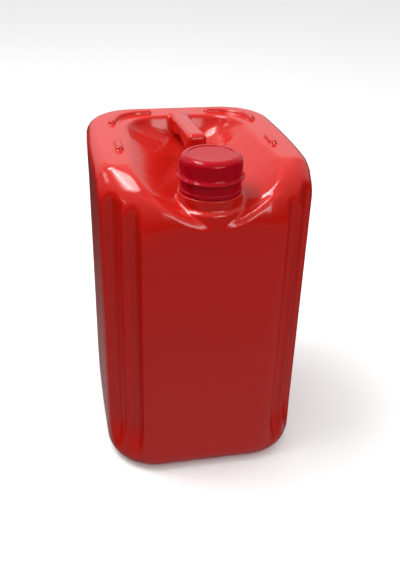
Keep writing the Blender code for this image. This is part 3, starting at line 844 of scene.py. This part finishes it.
RING_TOP = 0.3836
RING_FOOT = 0.3684
RING_INSIDE = 0.0321
RING_CATCH = 0.0309
RING_RADIUS = 0.0338
RING_LIP_RADIUS = 0.0347
tamper_band = turned("tamper_band", softened([
    (RING_RADIUS, RING_TOP, 0.0004), (RING_RADIUS, 0.3731, 0.0006), (RING_LIP_RADIUS, 0.3722, 0.0005),
    (RING_LIP_RADIUS, RING_FOOT, 0.0006), (RING_INSIDE, RING_FOOT, 0.0004), (RING_INSIDE, 0.3730, 0.0003),
    (RING_CATCH, 0.3771, 0.0003), (RING_INSIDE, 0.3777, 0.0003), (RING_INSIDE, RING_TOP, 0.0003),
]), 96, True)
bridges = from_tree(
    "bridges", ring_of_posts,
    Count=12, Ring_radius=0.0330, Post_radius=0.0005, Post_height=0.0012, Place=(0.0, NECK_Y, 0.3834),
)
tamper_band = combined(tamper_band, ("+", bridges))
finish_mesh(tamper_band, cap_crimson)
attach(tamper_band, "ring")
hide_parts("tamper_ring")


# The gasket
# A flat ring of soft white sheet between the neck's rim and the cap's ceiling. It is cut out, pressed into
# the cap and stays there.

GASKET_RADIUS = 0.0297
GASKET_HOLE = 0.0235
GASKET_TOP = 0.4055
GASKET_FOOT = 0.4037
GASKET_EDGE = 0.0003
gasket_white = moulded(
    "gasket_white", 0.00004, 0.4,
    Pigment=(0.72, 0.71, 0.68, 1.0), Cloud=(0.66, 0.65, 0.61, 1.0), Cloud_scale=60.0,
    Gloss=0.52, Scuffs=0.2, Grain_scale=3000.0, Grain=0.6, Dust=0.0,
)
sealing_ring = turned("sealing_ring", softened([
    (GASKET_RADIUS, GASKET_TOP, GASKET_EDGE), (GASKET_RADIUS, GASKET_FOOT, GASKET_EDGE),
    (GASKET_HOLE, GASKET_FOOT, GASKET_EDGE), (GASKET_HOLE, GASKET_TOP, GASKET_EDGE),
]), 96, True)
finish_mesh(sealing_ring, gasket_white)
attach(sealing_ring, "seal")
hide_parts("cap_gasket")


# The studio
# A plain pale floor, soft lights above on the left and in front on the right, two more that only show as
# highlights, an even ceiling light, and air that is brightest behind and overhead. The camera stands as it
# does in the photograph: in front, a little to the left and well above the can.

studio = bpy.context.scene
studio.view_settings.view_transform = "Standard"

FLOOR_HALF = 12
floor = mesh_object("floor", [
    (-FLOOR_HALF, -FLOOR_HALF, 0), (FLOOR_HALF, -FLOOR_HALF, 0),
    (FLOOR_HALF, FLOOR_HALF, 0), (-FLOOR_HALF, FLOOR_HALF, 0),
], [(0, 1, 2, 3)])
floor_paint = bpy.data.materials.new("floor_paint")
floor_paint.use_nodes = True
floor_shader = floor_paint.node_tree.nodes["Principled BSDF"]
floor_shader.inputs["Base Color"].default_value = (0.88, 0.88, 0.88, 1.0)
floor_shader.inputs["Roughness"].default_value = 0.85
floor.data.materials.append(floor_paint)
# The can doesn't see the floor: the air's faint light from below stands in for it
floor.visible_glossy = False
floor.visible_diffuse = False


def soft_light(name, place, aim, size, power):
    data = bpy.data.lights.new(name, "AREA")
    data.shape = "RECTANGLE"
    data.size, data.size_y = size
    data.energy = power
    item = bpy.data.objects.new(name, data)
    item.location = place
    item.rotation_euler = (Vector(aim) - Vector(place)).to_track_quat("-Z", "Y").to_euler()
    studio.collection.objects.link(item)
    return item


AT_DISH = (-0.1, -0.1, 0.38)
AT_FRONT = (0.0, -0.10, 0.38)
AT_CAP = (0.0, -0.10, 0.40)
soft_light("wide_light", (-0.76, 0.18, 2.16), AT_DISH, (1.50, 0.75), 23.0)
soft_light("strip_light", (-0.93, 0.14, 2.10), AT_DISH, (1.10, 0.11), 9.0)
soft_light("right_lamp", (0.70, -1.26, 1.80), AT_CAP, (0.05, 0.05), 2.2)
soft_light("front_light", (0.56, -1.64, 1.11), AT_FRONT, (1.05, 0.55), 8.5)
soft_light("left_lamp", (-1.65, -0.75, 1.30), AT_CAP, (0.05, 0.05), 1.6)
soft_light("left_light", (-1.50, 0.48, 1.48), (0.0, 0.0, 0.38), (0.40, 0.30), 2.4)
overhead_gloss = soft_light("overhead_gloss", (-0.74, 0.16, 2.10), AT_DISH, (1.35, 0.55), 20.0)
overhead_gloss.visible_diffuse = False
front_gloss = soft_light("front_gloss", (0.52, -1.56, 1.16), AT_FRONT, (1.20, 0.55), 7.0)
front_gloss.visible_diffuse = False
ceiling = soft_light("ceiling_light", (0.0, 2.0, 4.0), (0.0, 2.0, 0.0), (13.0, 13.0), 130)
ceiling.visible_glossy = False

world = bpy.data.worlds.new("studio_air")
world.use_nodes = True
air = world.node_tree
heading = node(air, "ShaderNodeSeparateXYZ")
link(air, node(air, "ShaderNodeTexCoord"), "Generated", heading, 0)


def faded(axis, start, end, low, high):
    """Goes smoothly from low to high while a part of the direction goes from start to end."""
    return ramp(air, (heading, axis), start, end, low, high, "SMOOTHSTEP")


# A bright band behind the can, a dome that brightens upwards, and two faint lights that stand in for the
# floor: one from low in front and one from straight below
above_floor = faded("Z", -0.10, 0.05, 0.02, 0.60)
below_ceiling = faded("Z", 0.42, 0.56, 1.0, 0.1)
behind = faded("Y", 0.1, 0.6, 0.0, 1.0)
dome = faded("Z", 0.0, 0.8, 0.02, 0.82)
under_horizon = faded("Z", -0.12, 0.02, 1.0, 0.0)
in_front = faded("Y", -0.4, 0.0, 0.30, 0.0)
straight_below = faded("Z", -0.72, -0.38, 0.25, 0.0)
band = maths(air, "MULTIPLY", above_floor, below_ceiling)
back_and_dome = maths(air, "MULTIPLY_ADD", band, behind, dome)
with_front = maths(air, "MULTIPLY_ADD", under_horizon, in_front, back_and_dome)
background = air.nodes["Background"]
feed(air, maths(air, "ADD", with_front, straight_below), background, "Strength")
background.inputs["Color"].default_value = (1.0, 1.0, 1.0, 1.0)
studio.world = world

# The camera's place, as it was fitted to the photograph, and its focal length in pixels of a picture 570 high
CAMERA_TURN = radians(-12.13)
CAMERA_RISE = radians(29.91)
CAMERA_ROLL = radians(1.74)
CAMERA_DISTANCE = 0.94917
CAMERA_AIM = Vector((0.01406, 0.0, 0.1870))
SENSOR_WIDTH = 36.0
FOCAL_PIXELS = 704.4
HEIGHT_PIXELS = 570.0
lens = bpy.data.cameras.new("camera")
lens.sensor_width = SENSOR_WIDTH
lens.lens = FOCAL_PIXELS * SENSOR_WIDTH / HEIGHT_PIXELS
camera = bpy.data.objects.new("camera", lens)
away = Vector((sin(CAMERA_TURN) * cos(CAMERA_RISE), -cos(CAMERA_TURN) * cos(CAMERA_RISE), sin(CAMERA_RISE)))
camera.location = CAMERA_AIM + away * CAMERA_DISTANCE
camera.rotation_mode = "QUATERNION"
camera.rotation_quaternion = away.to_track_quat("Z", "Y") @ Quaternion((0, 0, 1), CAMERA_ROLL)
studio.collection.objects.link(camera)
studio.camera = camera
